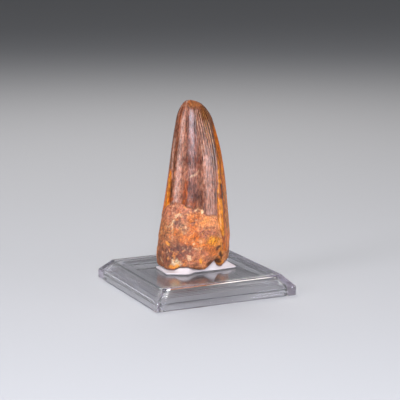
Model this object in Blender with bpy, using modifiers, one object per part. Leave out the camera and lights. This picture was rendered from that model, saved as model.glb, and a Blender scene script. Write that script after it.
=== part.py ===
"""Fossil spinosaurus tooth, held upright in white putty on a clear display base.

Metres, +Z up. The origin is the centre of the base's underside, and the base's sides
run along X and Y. The tooth's broad face looks along -Y.
"""
import math

import bmesh
import bpy
import numpy as np

MM = 0.001

# Display base
BASE_SIDE = 50.0 * MM
BASE_BAND = 2.9 * MM
BASE_BEVEL = 3.75 * MM
BASE_HEIGHT = BASE_BAND + BASE_BEVEL
BASE_WALL = 2.0 * MM
BASE_PLATE = 1.5 * MM
BASE_EDGE_ROUND = 0.3 * MM
CAVITY_EDGE_ROUND = 1.1 * MM
CUTTER_DROP = 4.0 * MM

# Clearance that keeps touching pieces apart
GAP = 0.3 * MM

# Putty: a thin sheet, and a mound on it under the tooth
SHEET_BOTTOM = BASE_HEIGHT + GAP
SHEET_THICKNESS = 0.5 * MM
SHEET_TOP = SHEET_BOTTOM + SHEET_THICKNESS
SHEET_OUTLINE = [
    (-13.1, 2.7), (-13.5, -6.9), (-10.5, -8.6), (-7.3, -10.1), (-5.6, -9.4),
    (-3.8, -8.3), (4.0, -8.6), (11.5, -7.9), (12.0, 2.4),
]
MOUND_INSET = 0.2 * MM
MOUND_FOOT = 0.12 * MM
MOUND_MARGIN = 0.5 * MM
MOUND_WAIST = 0.45

# Tooth: height, half width, half depth and centre of its sections, in millimetres
TOOTH_SECTIONS = [
    (7.0, 12.4, 9.4, -1.2),
    (11.0, 12.7, 9.6, -1.15),
    (15.0, 12.65, 9.6, -0.9),
    (20.0, 12.3, 9.3, -0.5),
    (26.0, 11.35, 8.6, -0.2),
    (33.0, 10.4, 8.0, 0.1),
    (40.0, 9.45, 7.4, 0.2),
    (47.0, 8.3, 6.6, 0.0),
    (53.0, 7.0, 5.6, -0.35),
    (57.0, 6.0, 4.9, -0.6),
    (63.0, 4.3, 3.6, -0.9),
]
TOOTH_CENTRE_Y = -0.8 * MM
TOOTH_TOP = 62.7 * MM
TIP_DOME = 6.2 * MM
TIP_DOME_POWER = 3.1
TIP_LEAN = 0.28

# Grid of the tooth: columns round it, rows up its wall, and the shares of its tip's rings
COLUMNS = 96
WALL_ROWS = 28
WALL_FOOT = 1.6 * MM
WALL_CROWDING = 0.25
TIP_SHARES = (0.2, 0.4, 0.58, 0.74, 0.88)

# Relief: ridges and broad flutes, the enamel's lower edge, and lumps on the root
RIDGES = 32
RIDGE_HEIGHT = 0.16 * MM
RIDGE_ON_ROOT = 0.25
FLUTE_HEIGHT = 0.09 * MM
FADE_WIDTH = 7.0 * MM
ENAMEL_EDGE = 25.5 * MM
ENAMEL_WAVE = 1.5 * MM
ENAMEL_BORDER = 0.4 * MM
ENAMEL_STEP = 0.18 * MM
LUMP_HEIGHT = 0.22 * MM

# Lower edge of the tooth round its wall: angle in degrees, height in millimetres
RIM = [
    (-180, 8.4), (-160, 8.0), (-144, 7.9), (-133, 8.9), (-118, 9.1), (-109, 8.4),
    (-98, 7.95), (-88, 7.9), (-83, 8.5), (-75, 9.9), (-65, 11.1), (-58, 8.6),
    (-52, 7.9), (-44, 8.8), (-30, 9.3), (-5, 8.2), (25, 7.9), (55, 8.9), (80, 8.2),
    (110, 8.0), (135, 9.0), (158, 8.1), (180, 8.4),
]
EDGE_ROUNDING = [(0.0, 0.9), (0.3, 0.32), (1.0, 0.05)]
HOLLOW_RINGS = [(0.15, 2.6), (1.0, 3.5), (1.9, 4.9), (2.5, 6.9)]
HOLLOW_FOOT = 9.0 * MM
HOLLOW_TOP = 12.0 * MM

# Low crests along the two cutting edges: angle in degrees
CARINAE = (-57, 125)
CARINA_HEIGHT = 0.22 * MM
CARINA_SPREAD = 5.0

# Chips and pits: angle in degrees, then height, radius along and across, and depth in mm
DENTS = [
    (-137, 9.8, 1.5, 1.7, 0.75),
    (-54, 12.0, 3.2, 1.1, 0.8),
    (-100, 18.2, 1.2, 2.0, 0.35),
    (-72, 16.5, 1.3, 1.5, 0.3),
    (-150, 24.5, 1.0, 2.6, 0.3),
    (-20, 21.0, 2.2, 1.4, 0.35),
    (30, 15.0, 2.0, 2.6, 0.5),
    (95, 20.5, 1.5, 3.0, 0.4),
    (150, 14.0, 2.6, 1.6, 0.5),
]

# Worn facet of the tip: a point on it and its outward direction
FACET_POINT = (-1.2 * MM, -3.25 * MM, 61.25 * MM)
FACET_NORMAL = (-0.06, -0.66, 0.74)
FACET_SHARE = 0.92


def clear_scene():
    """Remove every object, mesh and collection that the file opened with."""
    for thing in list(bpy.data.objects):
        bpy.data.objects.remove(thing, do_unlink=True)
    for group in list(bpy.data.collections):
        bpy.data.collections.remove(group)


def new_collection(name):
    """Make a collection under the scene's own."""
    group = bpy.data.collections.new(name)
    bpy.context.scene.collection.children.link(group)
    return group


def principled(name, colour, roughness, metallic=0.0, transmission=0.0, ior=1.5):
    """One Principled BSDF material."""
    material = bpy.data.materials.new(name)
    material.use_nodes = True
    shader = material.node_tree.nodes["Principled BSDF"]
    shader.inputs["Base Color"].default_value = (*colour, 1.0)
    shader.inputs["Roughness"].default_value = roughness
    shader.inputs["Metallic"].default_value = metallic
    shader.inputs["Transmission Weight"].default_value = transmission
    shader.inputs["IOR"].default_value = ior
    return material


def add_object(name, mesh, collection, material=None):
    """Link a mesh as an object, with its material."""
    thing = bpy.data.objects.new(name, mesh)
    collection.objects.link(thing)
    if material is not None:
        mesh.materials.append(material)
    return thing


def chamfered_block(name, side, bottom, top, chamfer):
    """A square block whose four top edges are cut back at 45 degrees."""
    shape = bmesh.new()
    bmesh.ops.create_cube(shape, size=1.0)
    bmesh.ops.scale(shape, vec=(side, side, top - bottom), verts=shape.verts)
    bmesh.ops.translate(shape, vec=(0.0, 0.0, (top + bottom) / 2), verts=shape.verts)
    top_edges = [edge for edge in shape.edges if all(v.co.z > top - GAP for v in edge.verts)]
    bmesh.ops.bevel(shape, geom=top_edges, offset=chamfer, segments=1, affect="EDGES")
    mesh = bpy.data.meshes.new(name)
    shape.to_mesh(mesh)
    shape.free()
    return mesh


def round_edges(thing, width, segments):
    """Round every edge sharper than 30 degrees."""
    rounding = thing.modifiers.new("Rounded edges", "BEVEL")
    rounding.width = width
    rounding.segments = segments
    rounding.limit_method = "ANGLE"
    rounding.angle_limit = math.radians(30)
    return rounding


def make_base(parts, cutters):
    """Clear square shell: upright band, 45 degree bevel, flat top, hollow below."""
    clear = principled("clear plastic", (0.93, 0.93, 0.95), 0.05, transmission=1.0, ior=1.49)
    outside = chamfered_block("base", BASE_SIDE, 0.0, BASE_HEIGHT, BASE_BEVEL)
    base = add_object("base", outside, parts, clear)
    round_edges(base, BASE_EDGE_ROUND, 2)

    inner_side = BASE_SIDE - 2 * BASE_WALL
    inner_top = BASE_HEIGHT - BASE_PLATE
    inner_band = BASE_BAND + BASE_WALL * (1 - math.sqrt(2))
    inside = chamfered_block("cavity", inner_side, -CUTTER_DROP, inner_top, inner_top - inner_band)
    cavity = add_object("cavity", inside, cutters)
    round_edges(cavity, CAVITY_EDGE_ROUND, 3)
    cavity.display_type = "WIRE"
    cavity.hide_render = True

    hollow = base.modifiers.new("Hollow", "BOOLEAN")
    hollow.operation = "DIFFERENCE"
    hollow.object = cavity
    hollow.solver = "EXACT"
    return base


def smooth_between(at, stations, values):
    """Smooth curve through stations: a cubic with slopes taken from the neighbours."""
    stations = np.asarray(stations, float)
    values = np.asarray(values, float)
    slopes = np.gradient(values, stations)
    at = np.clip(at, stations[0], stations[-1])
    left = np.clip(np.searchsorted(stations, at, side="right") - 1, 0, len(stations) - 2)
    span = stations[left + 1] - stations[left]
    t = (at - stations[left]) / span
    return (
        values[left] * (1 + 2 * t) * (1 - t) ** 2
        + slopes[left] * span * t * (1 - t) ** 2
        + values[left + 1] * t ** 2 * (3 - 2 * t)
        - slopes[left + 1] * span * t ** 2 * (1 - t)
    )


def section_at(height):
    """Half width, half depth and centre of the tooth's section at a height."""
    table = np.array(TOOTH_SECTIONS) * MM
    half_width = smooth_between(height, table[:, 0], table[:, 1])
    half_depth = smooth_between(height, table[:, 0], table[:, 2])
    centre = smooth_between(height, table[:, 0], table[:, 3])
    return half_width, half_depth, centre


def column_angles():
    """Angles round the tooth, one for each column of its grid."""
    return np.linspace(-math.pi, math.pi, COLUMNS, endpoint=False)


def rim_height(angle):
    """Height of the broken lower edge at each angle."""
    table = np.array(RIM, float)
    return np.interp(np.degrees(angle), table[:, 0], table[:, 1]) * MM


def angle_apart(angle, degrees):
    """Degrees between angles and one direction, the short way round."""
    return (np.degrees(angle) - degrees + 180) % 360 - 180


def relief(angle, height, half_width):
    """Height of the tooth's surface above its smooth form.

    Ridges run lengthwise and fade into the root, whose surface is lower by the enamel's
    thickness and lumpy. Each cutting edge is a low crest, and each dent is a round hollow.
    """
    ridge = np.cos(angle * RIDGES / 2) ** 2 - 0.5
    edge = ENAMEL_EDGE + ENAMEL_WAVE * np.sin(3 * angle + 1)
    enamel = 1 / (1 + np.exp((edge - height) / ENAMEL_BORDER))
    root = 1 - enamel
    taper = np.minimum(1, half_width / FADE_WIDTH)
    out = RIDGE_HEIGHT * ridge * (enamel + RIDGE_ON_ROOT * root) * taper
    out += FLUTE_HEIGHT * (np.cos(7 * angle + 0.6) + np.cos(11 * angle - 1.1)) * taper
    out -= ENAMEL_STEP * root
    lumps = np.sin(9 * angle + height / MM * 0.9) * np.sin(height / MM * 1.3 - 4 * angle)
    out += LUMP_HEIGHT * lumps * root
    for direction in CARINAE:
        crest = np.exp(-(angle_apart(angle, direction) / CARINA_SPREAD) ** 2)
        out += CARINA_HEIGHT * crest * taper
    for direction, at, along, across, depth in DENTS:
        sideways = np.radians(angle_apart(angle, direction)) * half_width / (across * MM)
        upward = (height - at * MM) / (along * MM)
        out -= depth * MM * np.exp(-sideways ** 2 - upward ** 2)
    return out


def tooth_ring(angle, height, inset=0.0):
    """Points of the tooth's wall at one height for each angle, moved inward by an inset."""
    half_width, half_depth, centre = section_at(height)
    out = relief(angle, height, half_width) - inset
    x = centre + (half_width + out) * np.cos(angle)
    y = TOOTH_CENTRE_Y + (half_depth + out) * np.sin(angle)
    return np.stack([x, y, height + 0 * angle], axis=1)


def tip_ring(angle, share):
    """One ring of the domed tip, share 0 at its foot and 1 at the top."""
    height = TOOTH_TOP - TIP_DOME + TIP_DOME * math.sin(share * math.pi / 2)
    scale = math.cos(share * math.pi / 2) ** (2 / TIP_DOME_POWER)
    ring = tooth_ring(angle, height + 0 * angle)
    centre = section_at(height)[2]
    ring[:, 0] = centre + (ring[:, 0] - centre) * scale
    ring[:, 1] = TOOTH_CENTRE_Y + (ring[:, 1] - TOOTH_CENTRE_Y) * scale
    ring[:, 2] -= TIP_LEAN * share * (ring[:, 0] - centre)
    return ring


def hollow_rings(angle, drop=0.0, extra=0.0):
    """Rings of the root's hollow, from the lower edge up.

    The putty that fills it is lower by drop and narrower by extra.
    """
    rings = []
    start = rim_height(angle)
    for rise, inset in HOLLOW_RINGS:
        blend = rise / HOLLOW_RINGS[-1][0]
        height = start * (1 - blend) + HOLLOW_FOOT * blend + rise * MM
        half_width, half_depth, centre = section_at(height)
        shrink = inset * MM + extra
        x = centre + (half_width - shrink) * np.cos(angle)
        y = TOOTH_CENTRE_Y + (half_depth - shrink) * np.sin(angle)
        rings.append(np.stack([x, y, height - drop], axis=1))
    return rings


def loft(name, rings, bottom_pole=None, top_pole=None):
    """Closed mesh through rings of equal count, ending in a pole or a flat face at each end."""
    count = len(rings[0])
    points = [tuple(p) for ring in rings for p in ring]
    faces = []
    for row in range(len(rings) - 1):
        for column in range(count):
            after = (column + 1) % count
            lower, upper = row * count, (row + 1) * count
            faces.append((lower + column, lower + after, upper + after, upper + column))
    last = (len(rings) - 1) * count
    if bottom_pole is None:
        faces.append(tuple(reversed(range(count))))
    else:
        pole = len(points)
        points.append(tuple(bottom_pole))
        faces += [((column + 1) % count, column, pole) for column in range(count)]
    if top_pole is None:
        faces.append(tuple(last + column for column in range(count)))
    else:
        pole = len(points)
        points.append(tuple(top_pole))
        faces += [(last + column, last + (column + 1) % count, pole) for column in range(count)]
    mesh = bpy.data.meshes.new(name)
    mesh.from_pydata(points, [], faces)
    mesh.validate()
    return mesh


def wear_flat(mesh):
    """Press the tip flat: points beyond the worn facet's plane move nearly onto it."""
    count = len(mesh.vertices)
    flat = np.empty(count * 3)
    mesh.vertices.foreach_get("co", flat)
    points = flat.reshape(count, 3)
    normal = np.array(FACET_NORMAL) / np.linalg.norm(FACET_NORMAL)
    beyond = (points - np.array(FACET_POINT)) @ normal
    points -= np.maximum(beyond, 0)[:, None] * normal * FACET_SHARE
    mesh.vertices.foreach_set("co", points.ravel())
    mesh.update()


def make_tooth(parts):
    """Crown and short root as one loft from the hollow, round the lower edge, up to the tip."""
    fossil = principled("fossil enamel", (0.36, 0.17, 0.08), 0.35)
    angle = column_angles()
    rim = rim_height(angle)
    rings = list(reversed(hollow_rings(angle)))
    for rise, inset in EDGE_ROUNDING:
        rings.append(tooth_ring(angle, rim + rise * MM, inset * MM))
    wall_foot = rim + WALL_FOOT
    wall_head = TOOTH_TOP - TIP_DOME
    for share in np.linspace(0.0, 1.0, WALL_ROWS + 1)[1:]:
        crowded = share - WALL_CROWDING * share * (1 - share)
        rings.append(tooth_ring(angle, wall_foot + (wall_head - wall_foot) * crowded))
    for share in TIP_SHARES:
        rings.append(tip_ring(angle, share))
    centre_low = section_at(HOLLOW_TOP)[2]
    centre_top = section_at(TOOTH_TOP)[2]
    mesh = loft(
        "tooth", rings,
        bottom_pole=(centre_low, TOOTH_CENTRE_Y, HOLLOW_TOP),
        top_pole=(centre_top, TOOTH_CENTRE_Y, TOOTH_TOP),
    )
    wear_flat(mesh)
    tooth = add_object("tooth", mesh, parts, fossil)
    mesh.shade_smooth()
    mesh.set_sharp_from_angle(angle=math.radians(35))
    return tooth


def sheet_ring(angle, centre_x):
    """Edge of the putty sheet seen from the mound's centre, with its corners kept."""
    corners = np.array(SHEET_OUTLINE) * MM
    centre = np.array([centre_x, TOOTH_CENTRE_Y])
    away = corners - centre
    corner_angle = np.arctan2(away[:, 1], away[:, 0])
    order = np.argsort(corner_angle)
    away, corner_angle = away[order], corner_angle[order]
    ring = np.zeros((len(angle), 2))
    for index, direction in enumerate(angle):
        nearest = np.argmin(np.abs(angle_apart(corner_angle, math.degrees(direction))))
        if abs(angle_apart(corner_angle[nearest], math.degrees(direction))) < 180 / len(angle):
            ring[index] = away[nearest]
            continue
        after = np.searchsorted(corner_angle, direction) % len(away)
        first, second = away[after - 1], away[after]
        ray = np.array([math.cos(direction), math.sin(direction)])
        along = second - first
        reach = (first[0] * along[1] - first[1] * along[0]) / (ray[0] * along[1] - ray[1] * along[0])
        ring[index] = ray * reach
    return ring + centre


def make_putty(parts):
    """Thin sheet with a mound that fills the gap under the tooth and rises into its hollow."""
    white = principled("white putty", (0.85, 0.84, 0.83), 0.6)
    angle = column_angles()
    centre_x = section_at(8.0 * MM)[2]
    centre = np.array([centre_x, TOOTH_CENTRE_Y])
    edge = sheet_ring(angle, centre_x)
    rim = rim_height(angle)

    shoulder = tooth_ring(angle, rim, EDGE_ROUNDING[0][1] * MM + MOUND_INSET)
    reach = np.linalg.norm(shoulder[:, :2] - centre, axis=1)
    limit = np.linalg.norm(edge - centre, axis=1) - MOUND_MARGIN
    inward = np.minimum(1.0, limit / reach)
    shoulder_xy = centre + (shoulder[:, :2] - centre) * inward[:, None]
    shoulder_z = np.maximum(rim - GAP, SHEET_TOP + MOUND_FOOT)
    waist_xy = shoulder_xy + (edge - shoulder_xy) * MOUND_WAIST
    waist_z = SHEET_TOP + (shoulder_z - SHEET_TOP) * MOUND_WAIST

    def level(xy, z):
        return np.column_stack([xy, z + 0 * angle])

    rings = [
        level(edge, SHEET_BOTTOM),
        level(edge, SHEET_TOP),
        level(waist_xy, waist_z),
        level(shoulder_xy, shoulder_z),
    ]
    for ring in hollow_rings(angle, GAP, GAP):
        pulled = centre + (ring[:, :2] - centre) * inward[:, None]
        rings.append(level(pulled, ring[:, 2]))
    pole = (section_at(HOLLOW_TOP)[2], TOOTH_CENTRE_Y, HOLLOW_TOP - GAP)
    mesh = loft("putty", rings, top_pole=pole)
    mesh.shade_smooth()
    mesh.set_sharp_from_angle(angle=math.radians(50))
    return add_object("putty", mesh, parts, white)


def build():
    """Make the display piece."""
    clear_scene()
    parts = new_collection("spinosaurus tooth")
    cutters = new_collection("cutters")
    make_base(parts, cutters)
    make_putty(parts)
    make_tooth(parts)


build()
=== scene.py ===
# %% [markdown]
# # A fossil tooth on a clear display base
# The object is a fossil spinosaurus tooth. It stands in white putty on a clear plastic base.
# The lesson loads the CAD solids as a fixed frame and makes each visible surface anew as
# numpy arrays, because a fossil's ridges, pits and crumbs are finer than the CAD solids.

import math

import bpy
import numpy as np
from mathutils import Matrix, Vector


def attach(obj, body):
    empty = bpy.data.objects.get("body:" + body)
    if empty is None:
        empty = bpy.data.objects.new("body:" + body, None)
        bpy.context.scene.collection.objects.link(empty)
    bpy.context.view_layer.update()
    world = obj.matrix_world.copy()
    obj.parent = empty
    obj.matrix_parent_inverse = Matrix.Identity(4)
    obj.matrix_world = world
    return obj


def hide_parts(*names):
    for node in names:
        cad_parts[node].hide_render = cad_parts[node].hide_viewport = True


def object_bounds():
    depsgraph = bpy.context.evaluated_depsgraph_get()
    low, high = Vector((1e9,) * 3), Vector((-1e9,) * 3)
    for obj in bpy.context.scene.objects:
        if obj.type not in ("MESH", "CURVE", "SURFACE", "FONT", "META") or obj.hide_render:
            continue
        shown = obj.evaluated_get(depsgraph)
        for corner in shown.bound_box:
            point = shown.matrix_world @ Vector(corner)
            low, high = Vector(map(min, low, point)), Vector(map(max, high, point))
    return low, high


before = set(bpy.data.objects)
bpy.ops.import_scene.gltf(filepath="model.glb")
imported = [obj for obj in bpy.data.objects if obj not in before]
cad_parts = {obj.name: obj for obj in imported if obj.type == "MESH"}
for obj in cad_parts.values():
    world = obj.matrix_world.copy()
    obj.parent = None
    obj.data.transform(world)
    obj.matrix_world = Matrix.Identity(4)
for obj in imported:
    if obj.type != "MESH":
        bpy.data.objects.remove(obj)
cad_low, cad_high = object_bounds()
print("CAD box in mm:", [round(v * 1000, 1) for v in (*cad_low, *cad_high)])

# %% [markdown]
# ## Where the camera stands
# The base's square outline fixes the viewpoint: its three near corners, its band and its
# bevel agree with one camera only. The camera stands 25 degrees round to the left and
# 15 degrees up, and a long lens keeps the tooth's sides from leaning.

# %% Camera
MM = 0.001
FRAME_PIXELS = 400
SENSOR = 36.0
FOCAL_PIXELS = 1422.9
CAMERA_AZIMUTH = math.radians(-25.2)
CAMERA_ELEVATION = math.radians(14.86)
CAMERA_DISTANCE = 478 * MM
CAMERA_AIM = Vector((1.0, -1.9, 29.6)) * MM
NEAREST_SEEN = 10 * MM


def direction(azimuth, elevation):
    """Unit vector from the object to a viewer: azimuth 0 is -Y, and it turns towards +X."""
    level = math.cos(elevation)
    return Vector((math.sin(azimuth) * level, -math.cos(azimuth) * level, math.sin(elevation)))


def add_object(name, data):
    """A new object, linked to the scene."""
    thing = bpy.data.objects.new(name, data)
    bpy.context.scene.collection.objects.link(thing)
    return thing


camera_data = bpy.data.cameras.new("camera")
camera_data.sensor_width = SENSOR
camera_data.lens = FOCAL_PIXELS * SENSOR / FRAME_PIXELS
camera_data.clip_start = NEAREST_SEEN
camera = add_object("camera", camera_data)
camera.location = direction(CAMERA_AZIMUTH, CAMERA_ELEVATION) * CAMERA_DISTANCE
camera.rotation_mode = "QUATERNION"
camera.rotation_quaternion = (CAMERA_AIM - camera.location).to_track_quat("-Z", "Y")
bpy.context.scene.camera = camera
print("lens", round(camera_data.lens, 1), "mm")

# %% [markdown]
# ## Floor and light
# A plain pale floor and soft lights show the finish without telling a story. Polished enamel
# is seen by what it mirrors. The main light stands high in front. A tall soft box on the left
# and a low one on the right draw long bands down the sides, a narrow strip in front draws the
# bright line below the tip, and a low wide box gives the crown its lilac sheen. Two lamps
# behind it light its edges and its back.
# Light turns many times inside a clear moulding, so the renderer may follow that many turns.

# %% Floor, sky and lamps
FLOOR_SIZE = 6.0
FLOOR_COLOUR = (0.50, 0.50, 0.51)
FLOOR_ROUGHNESS = 0.9
FLOOR_SHINE = 0.2
SKY_COLOUR = (0.80, 0.82, 0.86)
SKY_STRENGTH = 0.15
LIGHT_TURNS = 32
FLOOR_GAP = 0.05 * MM
LAMP_DISTANCE = 0.60
# Name, azimuth and elevation in degrees, width and height in metres, watts, colour
LAMPS = [
    ("main light", -18, 54, 0.20, 0.20, 1.25, (1.0, 0.94, 0.86)),
    ("left soft box", -78, 20, 0.18, 0.50, 1.6, (0.93, 0.91, 1.0)),
    ("front strip", -24, 26, 0.04, 0.34, 3.8, (0.80, 0.87, 1.0)),
    ("low right box", 37, 4, 0.22, 0.07, 0.85, (0.93, 0.90, 1.0)),
    ("low front box", -22, 7, 0.36, 0.08, 0.24, (0.86, 0.84, 1.0)),
    ("rim light", 148, 42, 0.20, 0.30, 0.4, (1.0, 0.93, 0.85)),
    ("back light", 176, 55, 0.30, 0.30, 1.4, (1.0, 1.0, 1.0)),
]


def make_floor():
    """A square matt sheet just under the base."""
    half = FLOOR_SIZE / 2
    corners = [(-half, -half, 0), (half, -half, 0), (half, half, 0), (-half, half, 0)]
    mesh = bpy.data.meshes.new("floor")
    mesh.from_pydata(corners, [], [(0, 1, 2, 3)])
    floor = add_object("floor", mesh)
    floor.location.z = cad_low.z - FLOOR_GAP
    material = bpy.data.materials.new("pale floor")
    material.use_nodes = True
    shader = material.node_tree.nodes["Principled BSDF"]
    shader.inputs["Base Color"].default_value = (*FLOOR_COLOUR, 1.0)
    shader.inputs["Roughness"].default_value = FLOOR_ROUGHNESS
    shader.inputs["Specular IOR Level"].default_value = FLOOR_SHINE
    mesh.materials.append(material)


def soft_box(name, azimuth, elevation, width, height, power, colour):
    """A rectangular area lamp that faces the tooth."""
    lamp = bpy.data.lights.new(name, "AREA")
    lamp.shape = "RECTANGLE"
    lamp.size, lamp.size_y = width, height
    lamp.energy = power
    lamp.color = colour
    holder = add_object(name, lamp)
    back = direction(math.radians(azimuth), math.radians(elevation))
    holder.location = CAMERA_AIM + back * LAMP_DISTANCE
    holder.rotation_mode = "QUATERNION"
    holder.rotation_quaternion = (-back).to_track_quat("-Z", "Y")


def make_sky():
    """An even pale surround."""
    world = bpy.data.worlds.new("pale sky")
    world.use_nodes = True
    background = world.node_tree.nodes["Background"]
    background.inputs["Color"].default_value = (*SKY_COLOUR, 1.0)
    background.inputs["Strength"].default_value = SKY_STRENGTH
    bpy.context.scene.world = world


make_floor()
make_sky()
for lamp_numbers in LAMPS:
    soft_box(*lamp_numbers)
bpy.context.scene.view_settings.view_transform = "Standard"
bpy.context.scene.cycles.max_bounces = LIGHT_TURNS
bpy.context.scene.cycles.glossy_bounces = LIGHT_TURNS
bpy.context.scene.cycles.transmission_bounces = LIGHT_TURNS

# %% [markdown]
# ## Noise worked out with numpy
# A rock surface repeats nothing, so its lumps and stains come from value noise: random
# numbers at the corners of a cubic lattice, blended smoothly inside each cell. The same
# arrays raise the surface and choose its colours, so a pit is dark exactly where it is deep.

# %% Value noise
# Odd numbers that scatter the lattice coordinates, and the bits that are kept
HASH_X, HASH_Y, HASH_Z, HASH_SEED = 374761393, 668265263, 974711, 362437
HASH_MIX = 1274126177
HASH_MASK = 0xFFFFFFFF
HASH_TOP = 0xFFFF
LAYER_FALL = 0.55
NUMBER_SEED = 7


def lattice_random(cells, seed):
    """A number from 0 to 1 for each lattice cell: its coordinates, multiplied and mixed."""
    x, y, z = (cells[..., k].astype(np.int64) for k in range(3))
    mixed = (x * HASH_X + y * HASH_Y + z * HASH_Z + seed * HASH_SEED) & HASH_MASK
    mixed = ((mixed ^ (mixed >> 13)) * HASH_MIX) & HASH_MASK
    return ((mixed ^ (mixed >> 16)) & HASH_TOP) / HASH_TOP


def value_noise(points, size, seed):
    """Value noise from 0 to 1: eight corner numbers blended by smooth steps of the cell place."""
    scaled = np.asarray(points) / size
    cells = np.floor(scaled).astype(np.int64)
    inside = scaled - cells
    blend = inside * inside * (3 - 2 * inside)
    total = 0.0
    for corner in np.ndindex(2, 2, 2):
        step = np.array(corner)
        weight = np.prod(np.where(step == 1, blend, 1 - blend), axis=-1)
        total = total + weight * lattice_random(cells + step, seed)
    return total


def layered_noise(points, size, seed, layers=4):
    """Noise at halving sizes, each weaker than the last, brought back to 0 to 1."""
    total, weight, whole = 0.0, 1.0, 0.0
    for layer in range(layers):
        total = total + weight * value_noise(points, size / 2 ** layer, seed + layer)
        whole += weight
        weight *= LAYER_FALL
    return total / whole


def cell_distance(points, size, seed):
    """Distance to the nearest of one random point per lattice cell, in cells, and its number."""
    scaled = np.asarray(points) / size
    cells = np.floor(scaled).astype(np.int64)
    nearest = np.full(scaled.shape[:-1], np.inf)
    number = np.zeros(scaled.shape[:-1])
    for step in np.ndindex(3, 3, 3):
        cell = cells + np.array(step) - 1
        spot = np.stack([lattice_random(cell, seed + k) for k in range(3)], axis=-1)
        apart = np.linalg.norm(cell + spot - scaled, axis=-1)
        closer = apart < nearest
        nearest = np.where(closer, apart, nearest)
        number = np.where(closer, lattice_random(cell, seed + NUMBER_SEED), number)
    return nearest, number


def smooth_step(low, high, value):
    """0 below low, 1 above high, and a smooth S between."""
    t = np.clip((np.asarray(value, float) - low) / (high - low), 0, 1)
    return t * t * (3 - 2 * t)


def noise_mask(points, size, seed, layers, low, high):
    """Layered noise as a mask: 0 where the noise is below low, 1 where it is above high."""
    return smooth_step(low, high, layered_noise(points, size, seed, layers))


def drawn_out(points, pace):
    """Points whose height counts by pace only, so noise on them is drawn out lengthwise."""
    return points * np.array([1, 1, pace])


print("noise test:", round(float(layered_noise(np.zeros((1, 3)) + 0.5, 1.0, 3)[0]), 3))

# %% [markdown]
# ## The tooth's sections
# The crown is a slightly curved cone with an oval section. Its size is given at a few
# heights, and a smooth cubic joins them, as a sculptor would set out a few gauges and fair
# the wall between them. The broken lower edge is a height for each angle round the wall.

# %% Sections and lower edge
# Height, half width, half depth and centre of each section, in millimetres
SECTIONS = [
    (7, 12.4, 9.4, -1.2), (11, 12.7, 9.6, -1.15), (15, 12.65, 9.6, -0.9),
    (20, 12.3, 9.3, -0.5), (26, 11.35, 8.6, -0.2), (33, 10.4, 8, 0.1),
    (40, 9.45, 7.4, 0.2), (47, 8.3, 6.6, 0), (53, 7, 5.6, -0.35),
    (57, 6, 4.9, -0.6), (63, 4.3, 3.6, -0.9),
]
# Angle in degrees and height in millimetres of the lower edge
RIM = [
    (-180, 8.4), (-160, 8), (-144, 7.9), (-133, 8.9), (-118, 9.1), (-109, 8.4),
    (-98, 7.95), (-88, 7.9), (-83, 8.5), (-75, 9.9), (-65, 11.1), (-58, 8.6),
    (-52, 7.9), (-44, 8.8), (-30, 9.3), (-5, 8.2), (25, 7.9), (55, 8.9), (80, 8.2),
    (110, 8), (135, 9), (158, 8.1), (180, 8.4),
]
CENTRE_Y = -0.8
TOOTH_TOP = 62.7
TIP_DOME = 6.2
TIP_DOME_POWER = 3.1
TIP_LEAN = 0.28


def smooth_between(at, stations, values):
    """Cubic through stations whose slopes come from the neighbouring stations."""
    slopes = np.gradient(values, stations)
    at = np.clip(at, stations[0], stations[-1])
    left = np.clip(np.searchsorted(stations, at, side="right") - 1, 0, len(stations) - 2)
    span = stations[left + 1] - stations[left]
    t = (at - stations[left]) / span
    return (
        values[left] * (1 + 2 * t) * (1 - t) ** 2
        + slopes[left] * span * t * (1 - t) ** 2
        + values[left + 1] * t ** 2 * (3 - 2 * t)
        - slopes[left + 1] * span * t ** 2 * (1 - t)
    )


def section_at(height):
    """Half width, half depth and centre in millimetres at a height in millimetres."""
    table = np.array(SECTIONS)
    return [smooth_between(height, table[:, 0], table[:, k]) for k in (1, 2, 3)]


def rim_height(angle):
    """Height of the lower edge at angles in radians."""
    table = np.array(RIM, float)
    return np.interp(np.degrees(angle), table[:, 0], table[:, 1])


def short_way(degrees):
    """The same turn, brought between -180 and 180 degrees."""
    return (degrees + 180) % 360 - 180


def degrees_apart(angle, degrees):
    """Degrees from a direction to angles in radians, the short way round."""
    return short_way(np.degrees(angle) - degrees)


# %% [markdown]
# ## Enamel above, root below
# On such a tooth the polished enamel covers the upper part and ends in a broken, stepped
# line. Below it the root's rough surface shows, stained orange and brown by iron. One table
# gives the height of that line for each angle, and noise frays it by up to a millimetre.

# %% Where the enamel ends
# Angle in degrees and height in millimetres
ENAMEL_EDGE = [
    (-180, 28), (-170, 29), (-148, 30), (-136, 29.8), (-128, 28.6), (-112, 28.6),
    (-100, 28.4), (-94, 26.8), (-88, 25.8), (-70, 25.2), (-64, 20), (-52, 14), (-40, 12.5),
    (-26, 16.5), (-5, 24), (25, 27.5), (60, 24.5), (95, 26), (130, 22), (160, 25),
    (180, 28),
]
ENAMEL_FRAY = 0.9
ENAMEL_BORDER = 0.22
MEAN_RADIUS = 10.0


def wall_frame(angle, height):
    """Seamless coordinates in millimetres that keep an even pace round and along the wall."""
    return np.stack(
        [MEAN_RADIUS * np.cos(angle), MEAN_RADIUS * np.sin(angle), height + 0 * angle], axis=-1
    )


def enamel_mask(angle, height, points):
    """1 on the enamel: above a broken line that noise moves by up to a millimetre."""
    table = np.array(ENAMEL_EDGE, float)
    edge = np.interp(np.degrees(angle), table[:, 0], table[:, 1])
    fray = (layered_noise(points, size=2.2, seed=11) - 0.5) * 2 * ENAMEL_FRAY
    return smooth_step(-ENAMEL_BORDER, ENAMEL_BORDER, height - edge - fray)


edge_heights = [h for _, h in ENAMEL_EDGE]
print("enamel ends", min(edge_heights), "to", max(edge_heights), "mm up")

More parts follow.
